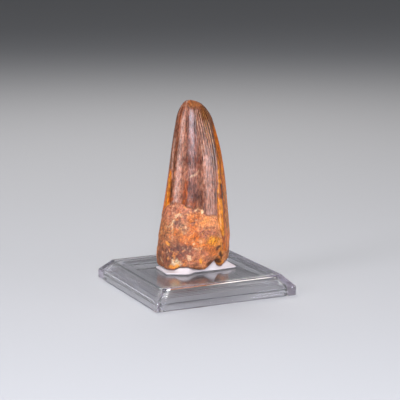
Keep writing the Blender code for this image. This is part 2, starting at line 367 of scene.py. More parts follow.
# %% [markdown]
# ## Stains and painted light as brush strokes
# Minerals coloured the tooth in patches and lengthwise streaks, and a few strokes on the enamel
# paint sheen and glow. Each is written as a brush stroke on the unrolled wall: a colour, half a
# width, a strength and a short line of points. The strokes are put on one after another, as a
# painter would, and noise frays their edges.

# %% Colours of the stains, and of the painted sheen and glow
TAUPE = (0.225, 0.08, 0.038)
# Light taupe: the enamel's lighter mottle, and painted sheen in the bands down its sides
LIGHT_TAUPE_AND_SHEEN = (0.405, 0.168, 0.104)
# A lilac tint painted as sheen round the highlight below the tip
LILAC_SHEEN_TINT = (0.225, 0.086, 0.068)
# Pale lilac: painted sheen in the bands down the sides
PALE_LILAC_SHEEN = (0.58, 0.33, 0.25)
MAROON = (0.135, 0.03, 0.012)
RUST = (0.31, 0.062, 0.008)
GOLD = (0.48, 0.205, 0.06)
TAN_LINE = (0.56, 0.3, 0.19)
DARK_GOLD = (0.19, 0.066, 0.014)
UMBER = (0.07, 0.018, 0.003)
AMBER = (0.43, 0.09, 0.002)
# Amber of the edges, painted bright as a glow of light through the thin enamel
EDGE_AMBER_AND_GLOW = (0.76, 0.19, 0.003)
BRIGHT_AMBER = (0.78, 0.27, 0.008)
ROOT_TAN = (0.38, 0.13, 0.044)
PEACH = (0.8, 0.3, 0.105)
RIM_PEACH = (0.84, 0.31, 0.07)
ORANGE = (0.61, 0.155, 0.01)
MAUVE = (0.53, 0.18, 0.092)
PLUM = (0.185, 0.05, 0.026)
YELLOW = (0.95, 0.38, 0.02)
CREAM = (1, 0.72, 0.42)
PALE_CHIP = (0.93, 0.69, 0.43)
HOLE_BROWN = (0.09, 0.02, 0.002)
print("darkest stain:", UMBER, "lightest stain:", CREAM)

# %% [markdown]
# ## Stains and painted light of the enamel
# The enamel is taupe with tan and maroon streaks that follow its ridges, and iron has turned both
# of its edges amber. Light taupe and pale lilac bands down both sides are painted sheen, a lilac
# tint round the highlight below the tip is painted sheen too, and the amber at the edges is painted
# bright as a glow. Angles run round the wall, and -115 degrees faces the camera.
# A row of equal short lines is written once and repeated at several angles.

# %% Strokes on the enamel
# Colour, half a width in mm, strength, then each point's angle in degrees and height in mm
ENAMEL_STROKES = [
    # Painted sheen: light taupe and pale lilac bands down the left side
    (LIGHT_TAUPE_AND_SHEEN, 1.2, 0.6, -146, 56, -147, 51, -149, 47),
    (LIGHT_TAUPE_AND_SHEEN, 1.9, 0.9, -152, 46, -151, 40, -149, 35, -146, 31),
    (PALE_LILAC_SHEEN, 0.8, 0.5, -152, 45, -150, 37, -148, 33, -147, 30.6),
    (PALE_LILAC_SHEEN, 0.8, 0.8, -176, 50, -175, 43, -170, 38),
    # Painted sheen: a light taupe band down the right side
    (LIGHT_TAUPE_AND_SHEEN, 1.2, 0.75, -91, 52, -92, 47),
    (LIGHT_TAUPE_AND_SHEEN, 1.9, 0.9, -90, 44, -86, 38, -83, 33, -81, 26),
    # A lilac tint painted as sheen round the highlight below the tip, and beside it
    (LILAC_SHEEN_TINT, 2.3, 0.8, -121, 60, -119, 52, -120, 47),
    (LILAC_SHEEN_TINT, 2.3, 0.45, -120, 44, -118, 33),
    (LILAC_SHEEN_TINT, 1.6, 0.6, -98, 59.5, -96, 55, -92, 50),
    (DARK_GOLD, 2, 0.9, -66, 60, -66, 55),
    (DARK_GOLD, 1.1, 0.9, -64, 55, -63, 49, -66, 43),
    (MAROON, 0.55, 0.65, -164, 60, -166, 54, -162, 48, -160, 43),
    # More painted sheen: pale lilac over the left and right bands
    (PALE_LILAC_SHEEN, 1, 0.32, -146, 57, -148, 50),
    (PALE_LILAC_SHEEN, 1.2, 0.24, -90, 44, -86, 38, -83, 33, -81, 26),
    (RUST, 0.5, 0.6, -160, 60, -165, 56),
    (UMBER, 0.5, 0.6, -138, 59, -136, 54),
    (UMBER, 0.7, 0.85, -107, 59.8, -108, 53),
    (UMBER, 0.7, 0.75, -62, 52, -63, 46, -66, 42),
    (DARK_GOLD, 2.2, 0.75, -44, 60, -38, 53),
    (AMBER, 1.9, 0.95, -43, 50.5, -48, 45, -53, 38, -56, 30, -58, 22, -58, 12),
    # Amber at the right edge, painted bright as a glow
    (EDGE_AMBER_AND_GLOW, 3.8, 0.95, -24, 51, -24, 46, -26, 36, -28, 22, -30, 12),
    (BRIGHT_AMBER, 0.35, 0.85, -48, 50, -55, 44, -61, 38, -65, 31, -67, 22),
    (BRIGHT_AMBER, 0.7, 0.9, -60, 36.6, -53, 36.4),
    (BRIGHT_AMBER, 0.7, 0.85, -58, 30, -60, 24, -56, 19),
    (BRIGHT_AMBER, 0.5, 0.8, -44, 44, -44, 38),
    (GOLD, 0.9, 0.65, -40, 34, -38, 27, -40, 20),
    (UMBER, 0.6, 0.85, -54, 35, -54, 31),
    (UMBER, 0.4, 0.7, -48, 29.6, -50, 26),
    (UMBER, 0.4, 0.6, -40, 47, -46, 41),
    (MAROON, 1.1, 0.7, -131, 44.2, -100, 44.2),
    (MAROON, 0.9, 0.45, -128, 42.6, -106, 42.2),
    (MAROON, 1.7, 0.4, -119, 37, -114, 33.5),
    (MAROON, 1.5, 0.4, -114, 31.6, -100, 31.2),
    (MAROON, 0.6, 0.85, -127, 37.4, -128, 34, -129, 31),
    (CREAM, 0.22, 0.28, -130, 37.2, -127, 38.4, -119, 39, -110, 39.6, -105, 40.6),
    (RUST, 0.6, 0.7, -131, 37, -131, 33),
    (RUST, 0.75, 0.9, -131, 33.5, -132, 30.3),
    (RUST, 0.8, 0.8, -124, 30.4, -110, 29.6),
    # Amber at the left edge, painted bright as a glow
    (EDGE_AMBER_AND_GLOW, 1.5, 0.95, -178, 38.6, -175, 34, -173, 29),
    (EDGE_AMBER_AND_GLOW, 1.3, 0.85, 160, 43, 163, 37),
    (EDGE_AMBER_AND_GLOW, 3, 0.95, 164, 34, 164, 31, 166, 28),
    (AMBER, 1.6, 0.6, 140, 41, 146, 33, 150, 26),
    (BRIGHT_AMBER, 0.8, 0.75, -178, 38, -178, 33, -176, 29.5),
    (UMBER, 0.6, 0.75, -167, 37, -164, 31.5),
    (RUST, 0.5, 0.9, -158, 31.2, -164, 30.4),
    (CREAM, 0.2, 0.6, -150, 29.6, -146, 29.9, -142, 29.5),
]
FROM_TIP = (0, 59.8, 5, 54, 8, 48)


def shifted(line, turn, rise):
    """The angles and heights of a line, all turned and raised by the same amounts."""
    return [number + (rise if place % 2 else turn) for place, number in enumerate(line)]


def row_of(colour, half_width, strength, angles, *line):
    """One short line at several angles: its own angles count from each of them."""
    return [(colour, half_width, strength, *shifted(line, angle, 0)) for angle in angles]


# Rows of short dark dashes, about one ridge apart
ENAMEL_STROKES += row_of(MAROON, 0.36, 0.8, range(-132, -97, 5), 0, 45.8, 1, 43.2)
ENAMEL_STROKES += row_of(MAROON, 0.3, 0.75, range(-114, -93, 5), 0, 33.6, 0, 29.2)
# Thin tan, gold and umber lines that run down from the tip beside the right edge
ENAMEL_STROKES += row_of(TAN_LINE, 0.24, 0.90, range(-104, -83, 7), *FROM_TIP)
ENAMEL_STROKES += row_of(GOLD, 0.24, 0.95, range(-83, -62, 7), *FROM_TIP)
ENAMEL_STROKES += row_of(UMBER, 0.26, 0.95, range(-100, -60, 7), 0, 59.8, 5, 54, 7, 48)
print("strokes on the enamel:", len(ENAMEL_STROKES))

# %% [markdown]
# ## Stains of the root
# The root is a patchwork of mauve, plum, orange and peach. Small yellow and cream crumbs and
# a few dark holes lie over the broad patches, so they come later in the list.

# %% Strokes on the root
ROOT_STROKES = [
    (MAUVE, 3, 0.8, -170, 26.5, -156, 26.8, -134, 27.2),
    (ROOT_TAN, 3.4, 0.8, -172, 20.5, -146, 20),
    (MAUVE, 1.4, 0.8, -140, 24, -136, 22.6),
    (PLUM, 0.7, 0.8, -138, 24.2, -134, 22.6),
    (ORANGE, 1, 0.75, -142, 20.6, -136, 20),
    (GOLD, 1.3, 0.45, -130, 22.5, -128, 19.5),
    (PLUM, 3.6, 0.7, -162, 12.6, -140, 13.2),
    (PLUM, 2.2, 0.85, -141, 13.4, -116, 14.6),
    (PLUM, 1, 0.75, -130, 18, -112, 16),
    (MAUVE, 2.4, 0.6, -112, 12, -90, 12.8),
    (PEACH, 1.6, 0.9, -114, 19.4, -104, 20, -102, 17.4),
    (ORANGE, 2.4, 1, -110, 24.6, -108, 21, -103, 18.2),
    (ORANGE, 1.4, 0.7, -128, 18.6, -118, 17.6),
    (PLUM, 0.45, 0.85, -112, 23.8, -108, 24.4, -103, 23.9, -101, 22.4),
    (RUST, 0.45, 0.75, -99, 24.4, -98, 20.4, -99, 17.2),
    (ORANGE, 0.6, 0.85, -122, 19.5, -115, 18.6, -112, 17.8),
    (PEACH, 2.7, 1, -90, 23.2, -80, 23.2, -72, 22.8),
    (BRIGHT_AMBER, 0.9, 0.35, -98, 23.4, -88, 24.4),
    (MAUVE, 1.7, 1, -92, 20, -80, 20),
    (PLUM, 0.4, 0.5, -97, 19.4, -94, 21.4, -86, 21.9, -77, 21.6),
    (BRIGHT_AMBER, 1.7, 1, -80, 17.4, -74, 17),
    (YELLOW, 1.1, 1, -79, 17.4, -76, 17.2),
    (RUST, 0.3, 0.8, -76, 15.6, -72, 17, -74, 18.6),
    (ORANGE, 1.4, 0.8, -92, 16.2, -84, 15.2, -76, 13.6, -66, 13),
    (BRIGHT_AMBER, 0.9, 0.8, -66, 17, -62, 14.6, -56, 12.6, -56, 9.6),
    (PEACH, 0.9, 0.7, -95, 12.2, -92, 9.6),
    (YELLOW, 0.4, 0.9, -98, 11.4, -96, 10.4),
    (YELLOW, 0.5, 0.6, -158, 17, -152, 16.4),
    (CREAM, 0.36, 0.6, -151, 24, -146, 25.6, -140, 26.4, -132, 25.8, -126, 24, -124, 22),
    (CREAM, 0.3, 0.6, -147, 25.4, -151, 23.4, -150, 21.6),
    (PLUM, 1, 0.5, -144, 23.6, -138, 23.8),
    (CREAM, 0.34, 0.36, -177, 23, -168, 22.2, -158, 22, -151, 23.4),
    (CREAM, 0.28, 0.36, -124, 26.7, -117, 27, -111, 27.4, -106, 28.2),
    (CREAM, 0.32, 0.85, -97, 28.2, -97, 26.4),
    (CREAM, 0.32, 0.9, -91, 27.6, -90, 25.8),
    (CREAM, 0.39, 0.7, -113, 17.6, -109, 16.8),
    (CREAM, 0.36, 0.6, -107, 15.6, -102, 15.2, -97, 15.4),
    (CREAM, 0.3, 0.5, -100, 18.4, -98, 17.2),
    (CREAM, 0.35, 0.6, -119, 13, -116, 12.6),
    (CREAM, 0.35, 0.6, -115.5, 11.9, -114, 11.5),
    (CREAM, 0.35, 0.6, -172, 11.6, -167, 10.6),
    (PALE_CHIP, 1.15, 1, -139, 10.7, -134, 10.2),
    (YELLOW, 0.6, 0.95, -136, 9.4, -134, 9),
    (BRIGHT_AMBER, 0.5, 0.8, -146, 9.2, -142, 8.8),
    (HOLE_BROWN, 0.55, 0.95, -69, 14.3, -64, 15.1),
    (HOLE_BROWN, 0.65, 1, -62, 12.7, -57, 12.1, -55, 11.2),
    (HOLE_BROWN, 0.5, 0.9, -62, 10.6, -59, 9.8),
    (HOLE_BROWN, 0.45, 0.75, -84, 9.6, -79, 10.6),
]
print("strokes on the root:", len(ROOT_STROKES))

# %% [markdown]
# ## From strokes to colours
# The distance to a stroke's line makes its mask, and noise pushes that distance about, so no
# edge is clean. One view shows one side only. The far side gets the front's broad strokes
# again, turned half round and a little lower, because its real stains are not known.

# %% Strokes to masks
# Fray and border count in half widths. Added to that width for the fray, and its cap, in mm
STROKE_BORDER = 0.50
STROKE_FRAY = 1.4
THIN_FRAY = 0.25
WIDEST_FRAY = 1.2
# Strokes narrower than this half width are broken into flakes
BROKEN_BELOW = 0.40
# The far side: turn in degrees, drop and least half width in mm, then the middle of the front
# and how far it reaches to each side, in degrees
HIDDEN_TURN = 180
HIDDEN_DROP = 1.2
HIDDEN_NARROWEST = 1.2
FRONT = -115
FRONT_REACH = 60


def stroke_mask(angle, height, fray, half_width, line):
    """1 inside a stroke: distance to its line on the unrolled wall, pushed about by noise."""
    start = line[0]
    across = np.radians(degrees_apart(angle, start)) * MEAN_RADIUS
    place = np.stack([across, height + 0 * across], axis=-1)
    ways = [math.radians(short_way(degrees - start)) * MEAN_RADIUS for degrees in line[::2]]
    route = np.column_stack([ways, line[1::2]])
    distance = np.full(across.shape, np.inf)
    for begin, end in zip(route[:-1], route[1:]):
        span = end - begin
        share = np.clip((place - begin) @ span / (span @ span), 0, 1)
        gap = np.linalg.norm(place - begin - share[..., None] * span, axis=-1)
        distance = np.minimum(distance, gap)
    border = STROKE_BORDER * half_width
    distance = distance + fray * STROKE_FRAY * min(half_width + THIN_FRAY, WIDEST_FRAY)
    return smooth_step(half_width + border, half_width - border, distance)


def with_hidden(strokes):
    """The strokes, and the front's broad ones again behind: half round and a little lower."""
    # Among the copied strokes are the painted sheen bands and the lilac tint round the highlight
    hidden = [
        (colour, half_width, strength, *shifted(line, HIDDEN_TURN, -HIDDEN_DROP))
        for colour, half_width, strength, *line in strokes
        if half_width >= HIDDEN_NARROWEST and abs(line[0] - FRONT) < FRONT_REACH
    ]
    return strokes + hidden


def blend_colours(share, first, second):
    """Straight mix of two colours, or of two arrays of them, by a share at each point."""
    return np.asarray(first) + (np.asarray(second) - np.asarray(first)) * share[..., None]


def paint(colour, strokes, angle, height, fray, flaked):
    """Mix each stroke's colour over the colours so far. Noise breaks thin strokes into flakes."""
    for stain, half_width, strength, *line in strokes:
        mask = strength * stroke_mask(angle, height, fray, half_width, line)
        if half_width < BROKEN_BELOW:
            mask = mask * flaked
        colour = blend_colours(mask, colour, stain)
    return colour


print("strokes on the enamel with the far side's:", len(with_hidden(ENAMEL_STROKES)))

# %% [markdown]
# ## Ground, strokes and grain
# Under the strokes lies a mottled ground. On the enamel it runs lengthwise, and on the root
# it is a mosaic of sheets with bright rims and painted shade on the lower, sunk sheets. A fine
# grain goes over everything.

# %% Colour of every point
# Masks made of noise: size in mm, seed, layers, then the noise where the mask is 0 and 1
FLAKED = (1.0, 27, 2, 0.36, 0.60)
DASHES = (0.6, 61, 2, 0.56, 0.74)
CRUMBS = (0.8, 67, 2, 0.60, 0.74)
FLECKS = (0.6, 69, 2, 0.66, 0.74)
SPECKLES = (0.58, 91, 2, 0.22, 0.78)
FINE_STREAKS = (0.5, 95, 2, 0.22, 0.78)
FINE_PACE = 0.28
# Where the mottle starts and is full, on half cloud and half streak or grit
ENAMEL_MOTTLE = (0.35, 0.72)
ROOT_MOTTLE = (0.30, 0.62)
MOTTLE_STRENGTH = 0.8
LEAST_FLAKED = 0.4
DASH_SHADE = 0.20
# Sheets, in steps of noise: half the border, then where their rim starts and is full
SHEET_BORDER = 0.02
SHEET_RIM = (0.045, 0.010)
# Darkening of red, green and blue in the crumbs, and the shares of crumbs and dashes in it
CRUMB_SHADE = (0.20, 0.30, 0.38)
CRUMB_SHARE = 0.5
DASH_SHARE = 0.6
# Painted shade on the lower, sunk sheets of the root
SUNK_SHEET_PAINTED_SHADE = 0.30
FLAKE_RIM = 0.65
FLECK_STRENGTH = 0.18
# Grain, weaker by this share on colours near and above this mean brightness
SPECKLE = 0.38
CALMER = 0.6
CALM_BRIGHTNESS = 0.36


def flake_steps(points):
    """Flaky sheets of the root: 1 where the lower sheet shows, and 1 on the rim between sheets."""
    level = layered_noise(points, size=3.2, seed=41, layers=3) - 0.5
    return smooth_step(SHEET_BORDER, -SHEET_BORDER, level), smooth_step(*SHEET_RIM, np.abs(level))


def enamel_colour(angle, height, points, cloud, flaked, dashes):
    """Taupe mottled lengthwise, the enamel's strokes on it with their painted sheen and glow, and
    dark dashes.
    """
    streak = layered_noise(drawn_out(points, pace=0.12), size=0.9, seed=5, layers=3)
    mottle = MOTTLE_STRENGTH * smooth_step(*ENAMEL_MOTTLE, 0.5 * streak + 0.5 * cloud)
    colour = blend_colours(mottle, TAUPE, LIGHT_TAUPE_AND_SHEEN)
    fray = 0.5 * layered_noise(drawn_out(points, pace=0.4), size=1.4, seed=29)
    fray += 0.5 * value_noise(drawn_out(points, pace=0.3), size=0.5, seed=33) - 0.5
    flaked = LEAST_FLAKED + (1 - LEAST_FLAKED) * flaked
    colour = paint(colour, with_hidden(ENAMEL_STROKES), angle, height, fray, flaked)
    return colour * (1 - DASH_SHADE * dashes[..., None])


def root_colour(angle, height, points, cloud, flaked, dashes):
    """A mosaic of mauve, peach and tan with painted shade on its sunk sheets, the root's strokes on
    it, crumbs, flecks and rims.
    """
    grit = layered_noise(points, size=0.8, seed=19, layers=2)
    mottle = smooth_step(*ROOT_MOTTLE, 0.5 * cloud + 0.5 * grit)
    colour = 0.5 * blend_colours(mottle, MAUVE, PEACH) + 0.5 * np.array(ROOT_TAN)
    sunk, rim = flake_steps(points)
    # Painted shade: the lower, sunk sheets are darker
    colour = colour * (1 - SUNK_SHEET_PAINTED_SHADE * sunk[..., None])
    fray = 0.6 * layered_noise(points, size=1.9, seed=23)
    fray = fray + 0.4 * value_noise(points, size=0.55, seed=25) - 0.5
    colour = paint(colour, with_hidden(ROOT_STROKES), angle, height, fray, flaked)
    shade = CRUMB_SHARE * noise_mask(points, *CRUMBS) + DASH_SHARE * dashes
    colour = colour * (1 - np.array(CRUMB_SHADE) * shade[..., None])
    colour = blend_colours(FLECK_STRENGTH * noise_mask(points, *FLECKS), colour, CREAM)
    return blend_colours(FLAKE_RIM * rim * flaked, colour, RIM_PEACH)


def stain_colours(angle, height, points, enamel):
    """Colour of each point, stains and painted light: the root's or the enamel's, times a grain.

    The grain runs lengthwise on the enamel, and it is strongest where the stain is dark.
    """
    cloud = layered_noise(points, size=4.0, seed=17)
    flaked = noise_mask(points, *FLAKED)
    dashes = noise_mask(drawn_out(points, FINE_PACE), *DASHES)
    shared = (angle, height, points, cloud, flaked, dashes)
    colour = blend_colours(enamel, root_colour(*shared), enamel_colour(*shared))
    speckle = noise_mask(points, *SPECKLES) - 0.5
    fine_streak = noise_mask(drawn_out(points, FINE_PACE), *FINE_STREAKS) - 0.5
    grain = speckle + (fine_streak - speckle) * enamel
    calm = smooth_step(0.5, 1.0, colour.mean(axis=-1) / CALM_BRIGHTNESS)
    return colour * (1 + 2 * SPECKLE * (1 - CALMER * calm) * grain)[..., None]


spot_angle, spot_height = np.array([math.radians(FRONT)]), np.array([40.0])
spot = wall_frame(spot_angle, spot_height)
spot_colour = stain_colours(spot_angle, spot_height, spot, np.ones(1))[0]
print("stain of the enamel 40 mm up in front:", [round(float(v), 3) for v in spot_colour])

# %% [markdown]
# ## Relief
# The surface stands off its smooth form by a sum of small heights: lengthwise ridges and
# fine striae on the enamel, a step where the enamel ends, chips, and lumps, pits and flakes on
# the root. Real depth catches the light from every side, which a painted line does not.

# %% Chips, pits and ridges
# Chips and pits: angle in degrees, height, radius along and across, depth, in millimetres
DENTS = [
    (-137, 9.8, 1.5, 1.7, 0.75), (-54, 12, 3.2, 1.1, 0.8), (-100, 18.2, 1.2, 2, 0.35),
    (-72, 16.5, 1.3, 1.5, 0.3), (-150, 24.5, 1, 2.6, 0.3), (-20, 21, 2.2, 1.4, 0.35),
    (30, 15, 2, 2.6, 0.5), (95, 20.5, 1.5, 3, 0.4), (150, 14, 2.6, 1.6, 0.5),
]
# The two cutting edges: angles and spread in degrees. Heights are in millimetres
CARINAE = (-57, 125)
CARINA_SPREAD = 5.0
CARINA_HEIGHT = 0.22
RIDGES = 64
RIDGE_HEIGHT = 0.035
# Ridges fade in patches, and round the worn crest: angle and spread in degrees
RIDGE_PATCHES = (0.35, 0.65)
SMOOTH_CREST = -120
SMOOTH_SPREAD = 14.0
# Broad flutes: how many go round, and their turn in radians
FLUTES = ((7, 0.6), (11, -1.1))
FLUTE_HEIGHT = 0.030
STRIA_HEIGHT = 0.050
# What stays of ridges and striae on the root, and the half width where all relief tapers
ROOT_RIDGES = 0.25
ROOT_STRIAE = 0.35
TAPER_WIDTH = 7
ENAMEL_STEP = 0.16
LUMP_HEIGHT = 0.26
CRUMB_HEIGHT = 0.09
# Pits: their reach in cells, from no pit to full, and the cells without a pit
PIT_REACH = (0.34, 0.12)
NO_PIT_BELOW = 0.62
PIT_DEPTH = 0.16
FLAKE_HEIGHT = 0.07
SHEET_STEP = 0.08


def pit_mask(points):
    """Round pits in over a third of the cells of a fine lattice."""
    distance, number = cell_distance(points, size=1.25, seed=71)
    return smooth_step(*PIT_REACH, distance) * (number > NO_PIT_BELOW)


def flake_height(points):
    """Low flat-topped flakes: each cell of a lattice stands at its own height."""
    return cell_distance(drawn_out(points, pace=0.8), size=1.9, seed=73)[1] - 0.5


def dent_depth(angle, height, half_width):
    """Depth of the chips: each is a bell curve along the wall and across it."""
    depth = np.zeros_like(height + angle)
    for degrees, at, along, across, deepest in DENTS:
        sideways = np.radians(degrees_apart(angle, degrees)) * half_width / across
        depth += deepest * np.exp(-sideways ** 2 - ((height - at) / along) ** 2)
    return depth


def relief(angle, height, half_width):
    """Height in millimetres above the smooth wall, and the numbers that colour it."""
    points = wall_frame(angle, height)
    enamel = enamel_mask(angle, height, points)
    root = 1 - enamel
    taper = np.minimum(1, half_width / TAPER_WIDTH)

    patches = smooth_step(*RIDGE_PATCHES, value_noise(points, size=7.0, seed=81))
    ridge = (np.cos(angle * RIDGES / 2) ** 2 - 0.5) * patches
    ridge *= 1 - np.exp(-(degrees_apart(angle, SMOOTH_CREST) / SMOOTH_SPREAD) ** 2)
    out = RIDGE_HEIGHT * ridge * (ROOT_RIDGES + (1 - ROOT_RIDGES) * enamel) * taper
    out += FLUTE_HEIGHT * sum(np.cos(count * angle + turn) for count, turn in FLUTES) * taper
    striae = layered_noise(drawn_out(points, pace=0.10), size=0.7, seed=5, layers=2) - 0.5
    out += STRIA_HEIGHT * striae * (ROOT_STRIAE + (1 - ROOT_STRIAE) * enamel)
    for degrees in CARINAE:
        out += CARINA_HEIGHT * np.exp(-(degrees_apart(angle, degrees) / CARINA_SPREAD) ** 2) * taper

    crumb = layered_noise(points, size=0.9, seed=37, layers=3) - 0.5
    lump = layered_noise(points, size=3.4, seed=31) - 0.5
    pits = pit_mask(points) * root
    out += (LUMP_HEIGHT * lump + CRUMB_HEIGHT * crumb + FLAKE_HEIGHT * flake_height(points)) * root
    out -= (ENAMEL_STEP + SHEET_STEP * flake_steps(points)[0]) * root + PIT_DEPTH * pits
    out -= dent_depth(angle, height, half_width)

    numbers = {"enamel": enamel, "pits": pits}
    # Stain colours, with the painted sheen, glow and shade among them
    numbers["stain"] = stain_colours(angle, height, points, enamel)
    return out, numbers


print("ridges:", RIDGES, "chips:", len(DENTS))

# %% [markdown]
# ## The tooth as one grid
# One grid wraps the whole tooth. Its columns run round the wall. Its rows start in the
# hollow under the root, turn round the lower edge, climb the wall and close over the tip.
# The tip is worn: whatever stands beyond a rough sloping plane is pressed back to it.

# %% Grid of the tooth
COLUMNS = 420
WALL_ROWS = 176
TIP_ROWS = 26
# Rise above the lower edge and inset from the wall, in millimetres
EDGE_ROUNDING = [(0.0, 0.9), (0.12, 0.58), (0.3, 0.32), (0.6, 0.15), (1.0, 0.05)]
HOLLOW_RINGS = [(0.15, 2.6), (1.0, 3.5), (1.9, 4.9), (2.5, 6.9)]
HOLLOW_FOOT = 9.0
HOLLOW_TOP = 12.0
WALL_START = 1.2
# Worn facet: a point, the way it faces, the share pressed flat, roughness and border in mm
FACET_POINT = (-1.2, -3.25, 61.25)
FACET_NORMAL = (-0.06, -0.66, 0.74)
FACET_SHARE = 0.92
FACET_ROUGHNESS = 0.5
FACET_BORDER = (0.02, 0.25)


def wall_points(angle, height, inset=0.0):
    """Points of the wall: the oval section at each height, raised by the relief."""
    half_width, half_depth, centre = section_at(height)
    out, masks = relief(angle, height, half_width)
    x = centre + (half_width + out - inset) * np.cos(angle)
    y = CENTRE_Y + (half_depth + out - inset) * np.sin(angle)
    return np.stack([x, y, height + 0 * angle], axis=-1), masks


def tip_points(angle, share):
    """The dome of the tip: the section shrinks by a power of a quarter circle and leans."""
    turn = share * math.pi / 2
    height = TOOTH_TOP - TIP_DOME + TIP_DOME * np.sin(turn)
    points, masks = wall_points(angle, height)
    scale = np.cos(turn) ** (2 / TIP_DOME_POWER)
    centre = section_at(height)[2]
    points[..., 0] = centre + (points[..., 0] - centre) * scale
    points[..., 1] = CENTRE_Y + (points[..., 1] - CENTRE_Y) * scale
    points[..., 2] -= TIP_LEAN * share * (points[..., 0] - centre)
    return points, masks


def hollow_points(angle, rise, inset):
    """One ring of the shallow hollow under the root."""
    blend = rise / HOLLOW_RINGS[-1][0]
    height = rim_height(angle) * (1 - blend) + HOLLOW_FOOT * blend + rise
    half_width, half_depth, centre = section_at(height)
    x = centre + (half_width - inset) * np.cos(angle)
    y = CENTRE_Y + (half_depth - inset) * np.sin(angle)
    return np.stack([x, y, height], axis=-1)


def press_flat(points):
    """Points beyond the worn facet's rough plane move back to it. Returns how far each moved."""
    normal = np.array(FACET_NORMAL) / np.linalg.norm(FACET_NORMAL)
    rough = (layered_noise(points, size=1.1, seed=97) - 0.5) * FACET_ROUGHNESS
    beyond = np.maximum((points - np.array(FACET_POINT)) @ normal + rough, 0)
    return points - beyond[..., None] * normal * FACET_SHARE, beyond


def grid_mesh(name, grid, low_pole, high_pole):
    """Closed mesh of a (rows, columns, 3) grid in metres, with a pole at each end."""
    rows, columns = grid.shape[:2]
    points = np.concatenate([grid.reshape(-1, 3), [low_pole], [high_pole]])
    index = np.arange(rows * columns).reshape(rows, columns)
    after = np.roll(index, -1, axis=1)
    quads = np.stack([index[:-1], after[:-1], after[1:], index[1:]], axis=-1).reshape(-1, 4)
    low, high = rows * columns, rows * columns + 1
    first = np.stack([after[0], index[0], np.full(columns, low)], axis=-1)
    last = np.stack([index[-1], after[-1], np.full(columns, high)], axis=-1)
    mesh = bpy.data.meshes.new(name)
    mesh.from_pydata(points.tolist(), [], quads.tolist() + first.tolist() + last.tolist())
    mesh.shade_smooth()
    return mesh


def add_numbers(mesh, name, values):
    """Store one number, or one colour, per vertex for the material to read."""
    values = np.asarray(values, np.float32)
    if values.ndim == 1:
        mesh.attributes.new(name, "FLOAT", "POINT").data.foreach_set("value", values)
        return
    colours = np.column_stack([values, np.ones(len(values), np.float32)])
    mesh.attributes.new(name, "FLOAT_COLOR", "POINT").data.foreach_set("color", colours.ravel())


def add_piece(mesh, node, material):
    """Link a mesh as a finished piece that stands for a CAD node."""
    piece = add_object(mesh.name, mesh)
    mesh.materials.append(material)
    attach(piece, "root")
    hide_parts(node)
    return piece


def tooth_grid():
    """All rows of the tooth in millimetres, from the hollow to the tip, and their numbers."""
    angle = np.linspace(-math.pi, math.pi, COLUMNS, endpoint=False)
    rim = rim_height(angle)
    edge_numbers = wall_points(angle, rim)[1]
    rings = [hollow_points(angle, *ring)[None] for ring in reversed(HOLLOW_RINGS)]
    rows = [edge_numbers] * len(HOLLOW_RINGS)
    for rise, inset in EDGE_ROUNDING:
        ring, numbers = wall_points(angle, rim + rise, inset)
        rings.append(ring[None])
        rows.append(numbers)

    share = np.linspace(0, 1, WALL_ROWS + 1)[1:, None]
    foot, head = rim + WALL_START, TOOTH_TOP - TIP_DOME
    wall, on_wall = wall_points(angle + 0 * share, foot + (head - foot) * share)
    tip_share = np.linspace(0, 1, TIP_ROWS + 2)[1:-1, None]
    tip, on_tip = tip_points(angle + 0 * tip_share, tip_share + 0 * angle)
    numbers = {
        name: np.concatenate([row[name][None] for row in rows] + [on_wall[name], on_tip[name]])
        for name in on_wall
    }
    return np.concatenate(rings + [wall, tip]), numbers


def make_tooth(material):
    """The fossil tooth: grid, worn facet, mesh and the numbers that its material reads."""
    grid, numbers = tooth_grid()
    grid, beyond = press_flat(grid)
    low = np.array([section_at(HOLLOW_TOP)[2], CENTRE_Y, HOLLOW_TOP])
    high = press_flat(np.array([section_at(TOOTH_TOP)[2], CENTRE_Y, TOOTH_TOP]))[0]
    mesh = grid_mesh("tooth_surface", grid * MM, low * MM, high * MM)
    numbers["worn"] = smooth_step(*FACET_BORDER, beyond)
    for name, values in numbers.items():
        ends = [values[0].mean(axis=0), values[-1].mean(axis=0)]
        per_vertex = values.reshape(-1, *values.shape[2:])
        add_numbers(mesh, name, np.concatenate([per_vertex, ends]))
    return add_piece(mesh, "tooth", material)


# %% [markdown]
# ## The fossil finish
# Enamel that has lain in iron-rich sand is mauve brown and glossy, and amber near its edges,
# where the amber is also painted bright as a glow. The root is a dull, crumbly mosaic of orange,
# brown and cream. The material reads the colours that the mesh stores, stains with painted
# sheen, glow and shade among them, and multiplies them by a grain that is finer than the mesh.
# A little light travels under the surface, as it does in real enamel, so the edges glow.

